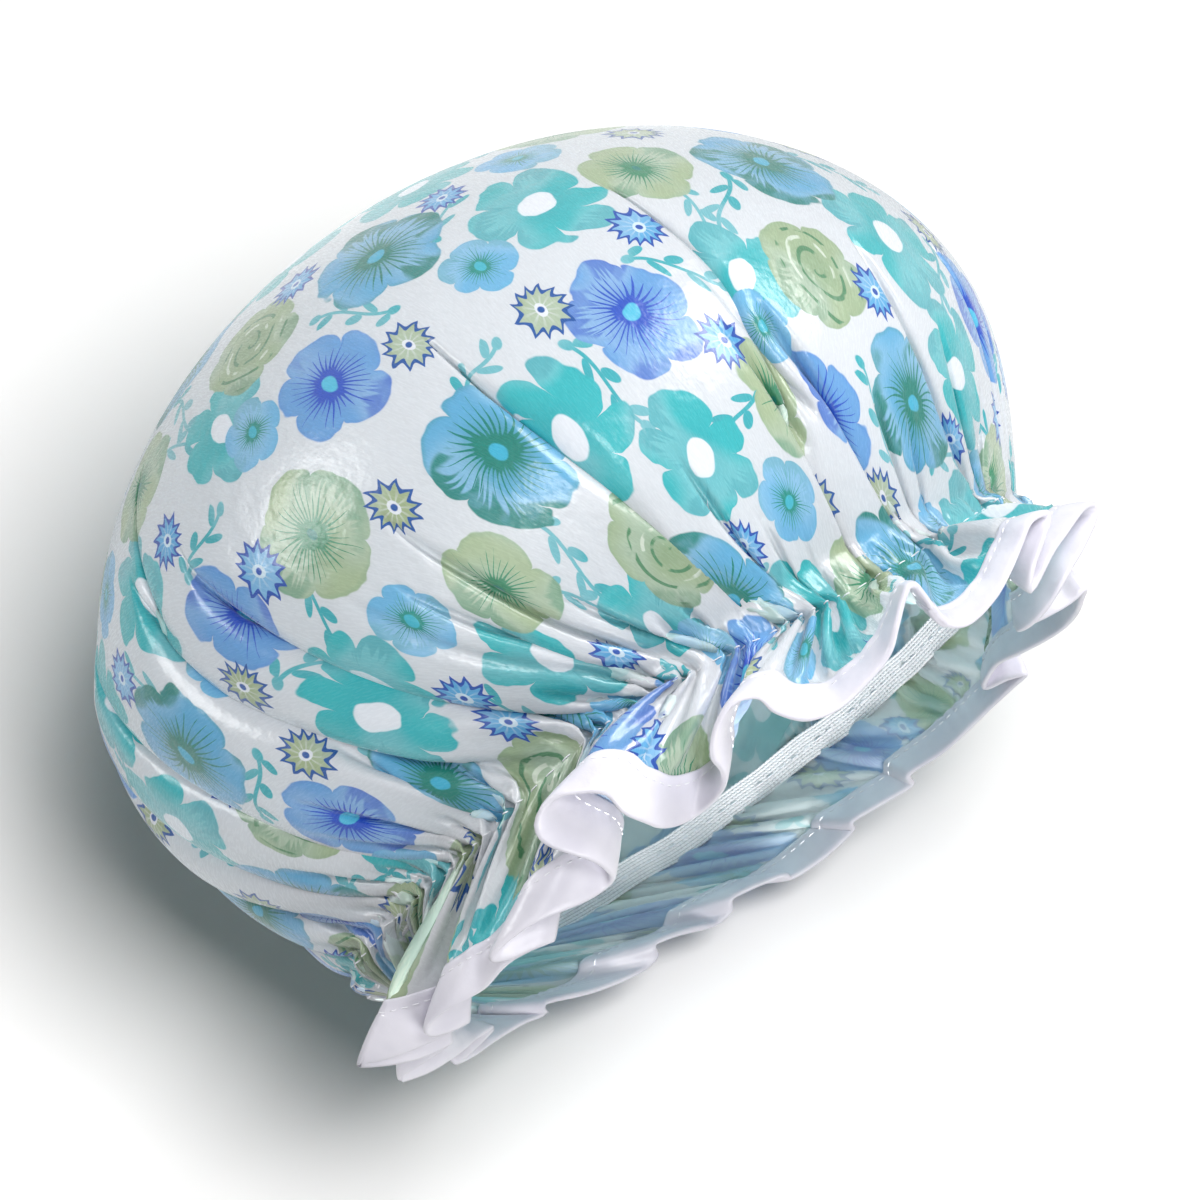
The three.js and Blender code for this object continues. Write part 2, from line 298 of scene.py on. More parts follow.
def frill_start(radius, angle, ring_angle):
    """The flat disc's outer part as straight threads from the ring to the waving edge."""
    share = (radius - GATHER) / FRILL
    edge_angle, flare = frill_edge(angle[0])
    start, outward = ring_frame(ring_angle + (edge_angle - ring_angle) * share)
    steep = flare * np.clip(3 * share, 0, 1)
    fine = knots(ring_angle) * (1 - share) ** 1.5
    points = start + outward * (FRILL * share * np.sin(flare) + fine * np.cos(steep))[..., None]
    points[..., 2] -= FRILL * share * np.cos(flare) - fine * np.sin(steep)
    return on_floor(points)


def on_floor(points, gap=FLOOR_GAP):
    """Lifts points in cap measures off the floor."""
    height = RING_CENTRE[2] / MM + points[..., 1] * math.cos(TILT) + points[..., 2] * math.sin(TILT)
    lift = np.maximum(0, gap - height)
    points[..., 1] += lift * math.cos(TILT)
    points[..., 2] += lift * math.sin(TILT)
    return points


# Cloth solver: a disc of cloth as a grid of rows round the apex and columns out from it

# In mm a step: the share of its speed that the cloth keeps, air pressure, weight and the fastest move
DRAG, PRESSURE, WEIGHT, FASTEST = 0.86, 0.09, 0.004, 1.5
SMOOTHING = 0.03

# Steps on the first grid, in full and in brief, and on the finer one, and passes in each step
STEPS, QUICK_STEPS, FINE_STEPS = 40, 10, 4
PASSES, FINE_PASSES = 8, 6


def column_passes(step):
    """Slices that pair each column with the one step further on, each column once in a pass."""
    return [
        (slice(first, None, 2 * step), slice((first + step) % (2 * step), None, 2 * step), first >= step)
        for first in range(2 * step)
    ]


def spring_sets(radius, spacing, free):
    """Every pass over the cloth's threads: rows and columns of both ends, rest lengths and stiffness."""
    rows, columns = radius.shape
    slack = 1 + PUFF_SLACK * rises(np.arange(columns) * TURN / columns, PUFFS)
    every = slice(0, rows)
    pairs = [(slice(first, rows - 1, 2), slice(first + 1, rows, 2)) for first in (0, 1)]
    plans = [(every, every, s, 1, 1.0, 0.75) for s in column_passes(1)]
    plans += [(a, b, (slice(None), slice(None), False), 0, 1.0, 0.9) for a, b in pairs]
    for a, b in pairs:
        plans += [(x, y, s, 1, 0.25, 1.0) for s in column_passes(1) for x, y in ((a, b), (b, a))]
    plans += [(every, every, s, 2, 0.0, 0.08) for s in column_passes(2)]
    sets = []
    for row_a, row_b, (col_a, col_b, wraps), step, pull, push in plans:
        held = [free[row_a, col_a], free[row_b, col_b]]
        if wraps:
            held[1] = np.roll(held[1], -1, 1)
        count = min(len(held[0]), len(held[1]))
        around = step * 0.5 * (spacing[row_a, col_a][:count] + spacing[row_b, col_a][:count])
        out = (radius[row_a, col_a][:count] - radius[row_b, col_a][:count]) * slack[col_a]
        weight = [h[:count] / np.maximum(held[0][:count] + held[1][:count], 1) for h in held]
        sets.append((row_a, row_b, col_a, col_b, wraps, count, np.hypot(around, out), weight, pull, push))
    return sets


def stretch(points, sets):
    """One pass of every set: threads pull or push their ends towards their rest length."""
    for row_a, row_b, col_a, col_b, wraps, count, rest, weight, pull, push in sets:
        a = points[row_a, col_a][:count]
        b = points[row_b, col_b][:count]
        along = (np.roll(b, -1, 1) if wraps else b) - a
        length = np.sqrt((along * along).sum(2)) + 1e-9
        gap = length - rest
        along *= (np.where(gap < 0, gap * push, gap * pull) / length)[..., None]
        shift = -along * weight[1]
        a += along * weight[0]
        b += np.roll(shift, 1, 1) if wraps else shift


def grid_normals(points):
    """Unit normals of a closed polar grid, pointing out of the cap."""
    around = np.roll(points, -1, 1) - np.roll(points, 1, 1)
    along = np.gradient(points, axis=0)
    return unit(np.cross(along, around))


def keep_in_crown(points, free, over=0.5, under=14.0, soft=0.35):
    """Keeps the crown's cloth between its target shape, over mm past it and under mm inside it."""
    height = np.clip(points[..., 2], 0, CROWN_HEIGHT - 0.01)
    wide, tall, shift = crown_section(height)
    x, y = points[..., 0] - shift, points[..., 1]
    low = points[..., 2] < WIDEST_AT
    above = np.maximum(0, points[..., 2] - WIDEST_AT) / (CROWN_HEIGHT - WIDEST_AT)
    wide, tall = np.where(low, wide, CROWN_WIDE), np.where(low, tall, CROWN_TALL)
    reach = np.sqrt((x / wide) ** 2 + (y / tall) ** 2 + above**2)
    over = over + puff(np.arctan2(y, x), height)
    excess = soft * np.maximum(0, reach - 1 - over / wide) - 0.5 * np.maximum(0, 1 - under / wide - reach)
    scale = np.where(free[..., 0] > 0, 1 - excess / np.maximum(reach, 0.2), 1)
    points[..., 0] = shift + x * scale
    points[..., 1] = y * scale
    points[..., 2] = np.where(low, points[..., 2], WIDEST_AT + (points[..., 2] - WIDEST_AT) * scale)


def settle(points, radius, spacing, steps, passes):
    """Blows the cloth up against its target shape, with the ring and the frill's bound edge held."""
    held = (np.abs(radius - GATHER) < 2.0) | (radius > EDGE_RADIUS - STIFF_EDGE)
    free = np.where(held, 0.0, 1.0)[..., None].astype(points.dtype)
    crown = int((radius[:, 0] < GATHER + 0.01).sum())
    sets = spring_sets(radius, spacing, free)
    speed = np.zeros_like(points)
    for _ in range(steps):
        push = grid_normals(points)
        push[crown:] = 0
        speed = speed * DRAG + free * push * PRESSURE
        speed[..., 1] -= free[..., 0] * WEIGHT
        before = points.copy()
        points += speed
        for _ in range(passes):
            stretch(points, sets)
            mean = 0.25 * (np.roll(points, 1, 1) + np.roll(points, -1, 1))
            mean[1:-1] += 0.25 * (points[2:] + points[:-2])
            mean[0], mean[-1] = points[0], points[-1]
            points += free * SMOOTHING * (mean - points)
            keep_in_crown(points[:crown], free[:crown])
            on_floor(points)
        speed = np.clip(points - before, -FASTEST, FASTEST)
    return points


def finer(grid):
    """The grid with a row and a column between each two, on a cubic through its neighbours."""
    mid = (9 * (grid + np.roll(grid, -1, 1)) - np.roll(grid, 1, 1) - np.roll(grid, -2, 1)) / 16
    wide = np.stack([grid, mid], 2).reshape(len(grid), -1, grid.shape[2])
    rows = np.vstack([2 * wide[:1] - wide[1:2], wide, 2 * wide[-1:] - wide[-2:-1]])
    between = (9 * (rows[1:-2] + rows[2:-1]) - rows[:-3] - rows[3:]) / 16
    result = np.empty((2 * len(wide) - 1,) + wide.shape[1:], grid.dtype)
    result[0::2], result[1::2] = wide, between
    return result


def make_cloth(columns=480, crown_rows=78, frill_rows=16):
    """The settled cloth: places in cap measures and on the flat disc, and each row's radius on it."""
    rows = np.r_[np.linspace(HOLE, GATHER, crown_rows), np.linspace(GATHER, EDGE_RADIUS, frill_rows + 1)[1:]]
    radius, angle = np.meshgrid(rows, np.arange(columns) * TURN / columns, indexing="ij")
    flat = np.stack([radius * np.cos(angle), radius * np.sin(angle)], 2)
    laid = [crown_row(at, columns) for at in rows[:crown_rows]]
    frill = frill_start(radius[crown_rows:], angle[crown_rows:], laid[-1][1])
    start = np.r_[[row for row, _, _ in laid], frill]
    at_edge = np.linalg.norm(np.roll(start[-1], -1, 0) - start[-1], axis=1)
    share = ((radius - GATHER) / FRILL)[crown_rows:]
    crown_spacing = np.array([step for _, _, step in laid])[:, None] * np.ones(columns)
    spacing = np.r_[crown_spacing, crown_spacing[-1] * (1 - share) + at_edge * share]
    points = settle(start, radius, spacing, STEPS, PASSES)
    points, flat, spacing = finer(points), finer(flat), finer(spacing[..., None])[..., 0] / 2
    radius = np.linalg.norm(flat, axis=2)
    points = settle(points, radius, spacing, FINE_STEPS, FINE_PASSES)
    return points, flat, radius


# Meshes

# Faces narrower than this, in mm, are joined in twos towards the apex
NARROWEST = 0.55


def add_object(name, data):
    made = bpy.data.objects.new(name, data)
    bpy.context.collection.objects.link(made)
    return made


def add_mesh(name, points, faces, material):
    """A mesh object from points in the row frame, with one material."""
    mesh = bpy.data.meshes.new(name)
    mesh.from_pydata(np.asarray(points, float).tolist(), [], faces)
    mesh.update()
    mesh.polygons.foreach_set("use_smooth", [True] * len(mesh.polygons))
    mesh.materials.append(material)
    return add_object(name, mesh)


def add_part(name, points, faces, material):
    """A mesh object from points in cap measures."""
    return add_mesh(name, place(points).reshape(-1, 3), faces, material)


def grid_faces(rows, columns, closed_rows=False, closed_columns=True, flip=False):
    """Quads of a grid, closed round its rows or its columns if asked."""
    faces = []
    for i in range(rows if closed_rows else rows - 1):
        here, there = i * columns, (i + 1) % rows * columns
        for j in range(columns if closed_columns else columns - 1):
            k = (j + 1) % columns
            faces.append((here + j, there + j, there + k, here + k))
    return [f[::-1] for f in faces] if flip else faces


def disc_faces(radius, columns, flip=False):
    """Faces of the polar grid, with fewer columns near the apex. Its last vertex is the apex."""
    rows = len(radius)
    strides = [1] * rows
    for i in range(rows - 1, -1, -1):
        stride = strides[i + 1] if i + 1 < rows else 1
        if TURN * radius[i] / columns * stride < NARROWEST and stride < columns // 15:
            stride *= 2
        strides[i] = stride
    faces = []
    for i in range(rows - 1):
        inner, outer = strides[i], strides[i + 1]
        for j in range(0, columns, inner):
            k = (j + inner) % columns
            near, far = i * columns, (i + 1) * columns
            corners = (near + j, far + j, far + k, near + k)
            if inner == outer:
                faces.append(corners)
            else:
                a, b, c, d = corners
                middle = b + outer
                faces += [(a, b, middle), (a, middle, d), (middle, c, d)]
    apex = rows * columns
    faces += [(apex, j, (j + strides[0]) % columns) for j in range(0, columns, strides[0])]
    return [f[::-1] for f in faces] if flip else faces


def used_only(points, faces):
    """Points and faces without the points that no face uses."""
    used = np.unique(np.concatenate([np.array(f) for f in faces]))
    order = np.full(len(points), -1)
    order[used] = np.arange(len(used))
    return points[used], [tuple(int(order[i]) for i in f) for f in faces], used


# Print: motifs listed one by one on a repeat of the cloth, in mm

REPEAT = (132.0, 118.0)
UV_SPAN = 500
FACE_REACH = 1.6
SLOTS = 3
MOST_PETALS = 20

# Each kind's fill, its accent and its core, as screen colours; its petals' depth, whether they are
# pointed, and its core's reach; its stamens' reach, the width of its outline and its watercolour; whether
# it is a rose, its petals as a share of the most, and whether it is a twig
KINDS = {
    "none": ((0, 0, 0),) * 6,
    "blue": ((104, 178, 216), (26, 134, 122), (70, 184, 214), (0.22, 0, 0.13), (0.68, 0, 0.9), (0, 0.25, 0)),
    "violet": ((112, 168, 220), (42, 88, 196), (92, 198, 226), (0.24, 0, 0.15), (0.66, 0, 0.6), (0, 0.25, 0)),
    "small": ((120, 188, 226), (40, 150, 140), (72, 188, 208), (0.24, 0, 0.16), (0.6, 0, 0.3), (0, 0.25, 0)),
    "pansy": ((176, 192, 158), (70, 146, 112), (36, 136, 128), (0.2, 0, 0.09), (0.62, 0, 0.5), (0, 0.2, 0)),
    "daisy": ((60, 188, 194), (14, 148, 164), (240, 240, 246), (0.42, 0, 0.27), (0, 0, 0.35), (0, 0.3, 0)),
    "star_sage": ((172, 186, 148), (40, 92, 166), (240, 240, 246), (0.28, 1, 0.22), (0, 0.2, 0), (0, 0.6, 0)),
    "star_blue": ((98, 176, 222), (36, 84, 176), (222, 236, 246), (0.28, 1, 0.24), (0, 0.2, 0), (0, 0.6, 0)),
    "twig": ((66, 178, 188), (66, 178, 188), (66, 178, 188), (0, 0, 0), (0, 0, 0), (0, 0.25, 1)),
    "rose": ((170, 188, 154), (88, 142, 104), (220, 228, 214), (0.16, 0, 0), (0, 0, 0.5), (1, 0.25, 0)),
}

# Top-most first: kind, place across and up the repeat, reach, and turn in degrees
MOTIFS = [
    ("star_sage", 67, 4, 8.2, 10), ("star_blue", 102, 28, 7.8, 0), ("star_blue", 40, 56, 7.8, 25),
    ("star_sage", 36, 107, 8, 5), ("star_sage", 127, 61, 8, 15), ("star_blue", 104, 112, 7.8, 30),
    ("star_blue", 76, 70, 7.4, 50), ("small", 98, 65, 10.8, 50), ("small", 65, 103, 10.4, 5),
    ("small", 1, 77, 10, 30), ("pansy", 114, 42, 17, 40), ("rose", 22, 58, 15.5, 0),
    ("pansy", 118, 87, 15.5, 160), ("blue", 20, 19, 18.8, 20), ("blue", 53, 77, 18.4, 75),
    ("violet", 85, 15, 17, 55), ("violet", 18, 94, 16.5, 10), ("daisy", 50, 30, 18.8, 12),
    ("daisy", 77, 49, 17, 40), ("daisy", 89, 93, 18.8, 65), ("daisy", 132, 6, 16, 20),
    ("twig", 41, 6, 13, 340), ("twig", 67, 26, 14, 70), ("twig", 104, 8, 13, 20),
    ("twig", 3, 42, 14, 100), ("twig", 37, 87, 13, 230), ("twig", 72, 78, 13, 300),
    ("twig", 127, 108, 13, 60), ("twig", 94, 44, 13, 140),
]


def motif_instances(reach):
    """Every motif of every repeat that the cloth's disc needs, top-most first."""
    wide, high = REPEAT
    across, up = math.ceil(reach / wide) + 1, math.ceil(reach / high) + 1
    for kind, x, y, size, turn in MOTIFS:
        for i in range(-across, across + 1):
            for j in range(-up, up + 1):
                at = np.array([(i - 0.5) * wide + x, (j + 0.5 * (i % 2)) * high + y])
                if np.hypot(*at) < reach + size:
                    yield list(KINDS).index(kind), at, size, math.radians(turn)


def print_on(piece, flat):
    """Gives each face its top-most motifs: the place in each one's own measures, and its kind."""
    mesh = piece.data
    loops, starts, totals = np.empty(len(mesh.loops), int), *np.empty((2, len(mesh.polygons)), int)
    mesh.loops.foreach_get("vertex_index", loops)
    mesh.polygons.foreach_get("loop_start", starts)
    mesh.polygons.foreach_get("loop_total", totals)
    corners = flat[loops]
    centres = np.add.reduceat(corners, starts) / totals[:, None]
    taken = np.zeros(len(starts), int)
    slots = np.zeros((SLOTS, len(loops), 3))
    of_face = np.repeat(np.arange(len(starts)), totals)
    for kind, at, size, turn in motif_instances(np.abs(flat).max()):
        near = np.hypot(*(centres - at).T) < size + FACE_REACH
        level = np.where(near & (taken < SLOTS), taken, -1)
        taken += near
        of_corner = level[of_face]
        for slot in range(SLOTS):
            chosen = of_corner == slot
            x, y = ((corners[chosen] - at) / size).T
            across, up = x * math.cos(turn) + y * math.sin(turn), y * math.cos(turn) - x * math.sin(turn)
            slots[slot][chosen] = np.stack([across, up, np.full(len(x), kind)], 1)
    for slot in range(SLOTS):
        layer = mesh.attributes.new(f"print_{slot}", "FLOAT_VECTOR", "CORNER")
        layer.data.foreach_set("vector", slots[slot].ravel())
    uv = mesh.uv_layers.new(name="flat")
    uv.data.foreach_set("uv", (corners / UV_SPAN + 0.5).ravel())


class Value:
    """A node's output, to be added and multiplied like a number."""

    def __init__(self, net, socket):
        self.net = net
        self.socket = socket

    def __add__(self, other):
        return self.net.math("ADD", self, other)

    def __sub__(self, other):
        return self.net.math("SUBTRACT", self, other)

    def __rsub__(self, other):
        return self.net.math("SUBTRACT", other, self)

    def __mul__(self, other):
        return self.net.math("MULTIPLY", self, other)

    def __abs__(self):
        return self.net.math("ABSOLUTE", self)


class Net:
    """Short forms for wiring a node tree."""

    def __init__(self, tree):
        self.tree = tree

    def node(self, kind, *values, **settings):
        made = self.tree.nodes.new("ShaderNode" + kind)
        for name, value in settings.items():
            setattr(made, name, value)
        for socket, value in zip(made.inputs, values):
            self.put(socket, value)
        return made

    def put(self, socket, value):
        if isinstance(value, Value):
            self.tree.links.new(value.socket, socket)
        elif value is not None:
            socket.default_value = value

    def fill(self, node, **values):
        """Sets a node's inputs by their names, which have _ for each space."""
        for name, value in values.items():
            self.put(node.inputs[name.replace("_", " ")], value)

    def out(self, node, name=0):
        return Value(self, node.outputs[name])

    def outs(self, node):
        return [Value(self, socket) for socket in node.outputs]

    def math(self, operation, a, b=None):
        return self.out(self.node("Math", a, b, operation=operation))

    def sine(self, value):
        return self.math("SINE", value)

    def length(self, x, y):
        return self.math("SQRT", x * x + y * y)

    def mix(self, share, a, b):
        made = self.node("Mix", data_type="RGBA")
        for name, value in (("Factor_Float", share), ("A_Color", a), ("B_Color", b)):
            self.put(next(s for s in made.inputs if s.identifier == name), value)
        return Value(self, next(s for s in made.outputs if s.identifier == "Result_Color"))

    def steps(self, share, colours):
        """One of a row of colours, chosen by a share that is i / count for colour i."""
        made = self.node("ValToRGB", share)
        stops = made.color_ramp
        stops.interpolation = "CONSTANT"
        stops.elements.remove(stops.elements[1])
        stops.elements[0].position = 0
        stops.elements[0].color = (*colours[0][:3], 1)
        for i, colour in enumerate(colours[1:]):
            stops.elements.new((i + 0.5) / len(colours)).color = (*colour[:3], 1)
        return self.out(made)

    def noise(self, where, scale, detail=2.0, rough=0.5):
        made = self.node("TexNoise")
        self.fill(made, Vector=where, Scale=scale, Detail=detail, Roughness=rough)
        return self.out(made)

    def band(self, value, start, end):
        """0 at start and before it, 1 at end and past it, smooth between."""
        made = self.node("MapRange", interpolation_type="SMOOTHSTEP")
        self.fill(made, Value=value, From_Min=start, From_Max=end)
        return self.out(made)


def linear(red, green, blue):
    """A screen colour, 0 to 255, as a shader's."""
    shares = [c / 255 for c in (red, green, blue)]
    return (*[c / 12.92 if c < 0.04045 else ((c + 0.055) / 1.055) ** 2.4 for c in shares], 1)


# The printed cloth's ground, the film's milk, and the share of light that shines through each
GROUND = linear(225, 226, 231)
MILKY = linear(240, 250, 247)
SATIN_THROUGH, FILM_THROUGH = 0.35, 0.6


def motif_group():
    """Colour and cover of one motif, from the place in its own measures and its kind."""
    tree = bpy.data.node_groups.new("motif", "ShaderNodeTree")
    for name, kind, way in (("Where", "Vector", "INPUT"), ("Flat", "Vector", "INPUT"),
                            ("Colour", "Color", "OUTPUT"), ("Cover", "Float", "OUTPUT")):
        tree.interface.new_socket(name=name, in_out=way, socket_type="NodeSocket" + kind)
    net = Net(tree)
    given = tree.nodes.new("NodeGroupInput")
    flat = net.out(given, "Flat")
    x, y, kind = net.outs(net.node("SeparateXYZ", net.out(given, "Where")))
    choice = kind * (1 / len(KINDS))
    looks = list(KINDS.values())
    fill, accent, core = [net.steps(choice, [linear(*look[part]) for look in looks]) for part in range(3)]
    numbers = [net.steps(choice, [look[part] for look in looks]) for part in range(3, 6)]
    depth, pointed, core_reach, stamen_reach, rim, wash, rose, petals, is_twig = [
        value for three in numbers for value in net.outs(net.node("SeparateColor", three))
    ]

    broad, drift = net.noise(flat, 90, 1), net.noise(flat, 30, 0)
    waver, sway = broad - 0.5, drift - 0.5
    reach = net.length(x, y)
    angle = net.math("ARCTAN2", y, x)
    bent = angle + waver * 0.3 + sway * 1.2
    phase = bent * petals * (MOST_PETALS / 2)
    round_lobe = net.math("POWER", abs(net.math("COSINE", phase)), 0.42)
    sharp_lobe = 1.0 - abs(net.sine(phase))
    lobe = round_lobe + pointed * (sharp_lobe - round_lobe)
    outline = 0.96 - depth * (1.0 - lobe) + waver * 0.14 + sway * 0.3
    inside = outline - reach
    cover = net.band(inside, 0.0, 0.03)

    # The fill's drift, paler and deeper, with the accent's tint at the heart and strokes along one side
    pale = net.mix(0.5, fill, linear(222, 236, 246))
    colour = net.mix(net.band(drift, 0.4, 0.62) * 0.45, fill, pale)
    colour = net.mix(net.band(reach, 0.62, 0.12) * wash * 0.5, colour, accent)
    ray_angle = angle + sway * 0.8
    strokes = net.sine(ray_angle * 38.0 + net.sine(ray_angle * 11.0) * 2.2)
    side = net.band(inside + strokes * 0.11, 0.36, 0.24) * net.band(drift, 0.54, 0.6)
    colour = net.mix(side * (net.band(broad, 0.4, 0.55) * 0.28 + 0.72) * wash, colour, accent)
    colour = net.mix(net.band(inside, 0.1, 0.02) * wash * 0.3, colour, accent)

    # Stamens: thin rays that taper outwards and end unevenly
    rays = abs(net.sine(ray_angle * 17.0))
    left = stamen_reach + net.sine(ray_angle * 9.0) * 0.07 + waver * 0.6 - reach
    ray = net.band(left * 0.62 + 0.07 - rays * (reach + 0.05), 0.0, 0.07) * net.band(left, 0.0, 0.05)
    colour = net.mix(ray * net.band(stamen_reach, 0.1, 0.2), colour, accent)

    # Petal strokes of a rose: pieces of a spiral, with a pale crescent between them
    turns = net.sine(reach * 17.0 + angle + sway * 12.0)
    arcs = net.band(turns, 0.72, 0.92) * rose * net.band(broad, 0.44, 0.5) * net.band(inside, 0.06, 0.12)
    colour = net.mix(arcs, colour, accent)
    gleam = net.band(turns, -0.75, -0.9) * rose * net.band(broad, 0.5, 0.42) * net.band(reach, 0.7, 0.6)
    colour = net.mix(gleam, colour, core)

    # A star's pale streaks, the core, the dot in a star's core, and the outline
    streaks = net.band(net.sine(bent * 12.0), 0.2, 0.9) * net.band(reach, 0.7, 0.2)
    colour = net.mix(streaks * pointed * 0.45, colour, core)
    oval = core_reach - net.length(x * 1.18, y * 0.9) + waver * 0.12
    colour = net.mix(net.band(oval, 0.0, 0.03) * net.band(core_reach, 0.02, 0.04), colour, core)
    dot = net.band(reach, 0.13, 0.09) * pointed
    edge = net.band(rim - inside, 0.0, 0.04) * net.band(rim, 0.05, 0.1)
    colour = net.mix(net.math("MAXIMUM", dot, edge), colour, accent)

    # Twig: a thin bent stem with a few leaves, turn by turn on either side, and buds at its ends
    stem_y = y - net.sine(x * 2.4) * 0.2
    apart, far = abs(stem_y), abs(x)
    stem = net.band(apart, 0.05, 0.03) * net.band(far, 0.88, 0.84)
    along = x * 1.55 + net.math("SIGN", stem_y) * 0.25 - apart * 1.3
    leaf = net.length((net.math("FRACT", along) - 0.5) * 4.6, (apart - 0.17) * 6.4)
    leaves = net.band(leaf, 1.0, 0.85) * net.band(far, 0.8, 0.76)
    buds = net.band(net.length((far - 0.84) * 0.8, stem_y), 0.12, 0.09)
    twig = net.math("MAXIMUM", net.math("MAXIMUM", stem, leaves), buds)
    cover = (twig * is_twig + cover * (1.0 - is_twig)) * net.band(kind, 0.4, 0.6)
    net.fill(tree.nodes.new("NodeGroupOutput"), Colour=colour, Cover=cover)
    return tree


def print_colour(net, flat):
    """The print's colour: the ground with every slot's motif laid over it."""
    group = bpy.data.node_groups.get("motif") or motif_group()
    colour = GROUND
    for slot in reversed(range(SLOTS)):
        where = net.out(net.node("Attribute", attribute_name=f"print_{slot}"), "Vector")
        motif = net.node("Group", node_tree=group)
        net.fill(motif, Where=where, Flat=flat)
        colour = net.mix(net.out(motif, "Cover"), colour, net.out(motif, "Colour"))
    return colour


# Camera, lamps and stage

# Each lamp's size in metres and watts, and how far it is from the cap to the camera's right, upwards in
# the picture and towards the camera. The first lights the floor only, the second the inside only.
LAMPS = {
    "ground": (1.45, 88, 0.68, 0.76, 2.75),
    "inside": (0.5, 14, 0.4, -0.7, 0.7),
    "key": (0.24, 2.8, 0.15, 0.2, 0.95),
    "fill": (0.5, 1.2, -0.1, -0.25, 1.0),
    "front": (0.6, 7, 0.6, -0.75, 0.6),
    "side": (0.5, 12, 0.6, 0.8, 0.4),
    "left": (0.4, 5, -0.9, 0.3, 0.4),
}
LAMPS_FROM = Vector((0, 0, 0.1))
LAMPS_AIM = Vector((0, 0, 0.09))

# The stage's colours where it is seen, and where it only lights the cap
SEEN_FLOOR, PLAIN_FLOOR = (1.15, 1.13, 1.115, 1), (0.45, 0.45, 0.45, 1)
SEEN_WORLD, PLAIN_WORLD = (1, 1, 1, 1), (0.08, 0.08, 0.08, 1)
FLOOR_HALF = 3


def add_camera():
    """The camera. Gives its directions to the right, upwards and back from the cap."""
    sideways = Vector((math.sin(VIEW_AZIMUTH), -math.cos(VIEW_AZIMUTH), 0))
    back = sideways * math.cos(VIEW_ELEVATION) + Vector((0, 0, math.sin(VIEW_ELEVATION)))
    right = Vector((math.cos(VIEW_AZIMUTH), math.sin(VIEW_AZIMUTH), 0))
    up = back.cross(right)
    across, down = [(at - PICTURE / 2) * PIXEL for at in RING_AT]
    data = bpy.data.cameras.new("camera")
    data.sensor_width = SENSOR
    data.lens = SENSOR * VIEW_DISTANCE / (PICTURE * PIXEL)
    camera = add_object("camera", data)
    turned = Matrix((right, up, back)).transposed().to_4x4()
    turned.translation = Vector(RING_CENTRE) - right * across + up * down + back * VIEW_DISTANCE
    camera.matrix_world = turned
    bpy.context.scene.camera = camera
    return right, up, back


def add_lamp(name, view, size, watts, *places):
    data = bpy.data.lights.new(name, "AREA")
    data.size = size
    data.energy = watts
    lamp = add_object(name, data)
    lamp.location = sum((axis * place for axis, place in zip(view, places)), LAMPS_FROM)
    lamp.rotation_euler = (LAMPS_AIM - lamp.location).to_track_quat("-Z", "Y").to_euler()
    return lamp


def light_link(lamps, name, pieces, state):
    """Lets lamps light only some pieces, or all but them."""
    lit = bpy.data.collections.new(name)
    for piece in pieces:
        lit.objects.link(piece)
    for linked in lit.collection_objects:
        linked.light_linking.link_state = state
    for lamp in lamps:
        lamp.light_linking.receiver_collection = lit


def new_material(name):
    """A material, the net of its nodes and its shader."""
    material = bpy.data.materials.new(name)
    material.use_nodes = True
    net = Net(material.node_tree)
    return material, net, net.tree.nodes["Principled BSDF"]


def stage_white(net, seen, plain):
    """One colour for the camera, glosses and what shines through, and another for all other light."""
    path = net.node("LightPath")
    camera, glossy, through = [net.out(path, f"Is {ray} Ray") for ray in ("Camera", "Glossy", "Transmission")]
    return net.mix(net.math("MAXIMUM", camera, net.math("MAXIMUM", glossy, through)), plain, seen)


def add_stage():
    """The white world and the white floor."""
    world = bpy.data.worlds.new("world")
    world.use_nodes = True
    bpy.context.scene.world = world
    bpy.context.scene.view_settings.view_transform = "Standard"
    net = Net(world.node_tree)
    net.fill(net.tree.nodes["Background"], Color=stage_white(net, SEEN_WORLD, PLAIN_WORLD))
    look, net, shader = new_material("floor")
    white = stage_white(net, SEEN_FLOOR, PLAIN_FLOOR)
    net.fill(shader, Base_Color=white, Roughness=0.95, Specular_IOR_Level=0.0)
    corners = [(x * FLOOR_HALF, y * FLOOR_HALF, 0) for x, y in ((-1, -1), (1, -1), (1, 1), (-1, 1))]
    floor = add_mesh("floor", corners, [(0, 1, 2, 3)], look)
    return floor


# Pieces

# The tape's section from its lip to the cloth's edge: the distance in from the edge, and the height
TAPE_SECTION = [
    (8.0, 0.02), (8.1, 0.3), (7.8, 0.52), (7.0, 0.5), (6.4, 0.34), (5.8, 0.5), (4.4, 0.62), (2.6, 0.66),
    (1.0, 0.62), (0.2, 0.5), (-0.25, 0.2),
]
TAPE_FACE, TAPE_OFF_FLOOR = 0.34, 0.3
STITCH_LINE = 6.4

# Pitch, length and lift of a stitch, for the tape's seam and for the gather seam inside and outside
EDGE_STITCH, INNER_STITCH, OUTER_STITCH = (2.7, 1.9, 0.1), (3.4, 2.4, 0.1), (5.0, 3.0, 0.15)
STITCH_RADIUS, STITCH_SINK = 0.17, 0.35
ELASTIC_HALF = 3.25
ELASTIC_INSET = 2.3
ELASTIC_RIBS = 9
ELASTIC_THICK = 0.8
ELASTIC_FACE = ELASTIC_INSET + ELASTIC_THICK
RIB_DEPTH = 0.16
KNIT_PITCH = 1.1
RING_STEPS = 720
TACK_ANGLE, TACK_LENGTH, TACK_TURNS, TACK_RADIUS = math.radians(200), 7.0, 6, 0.25

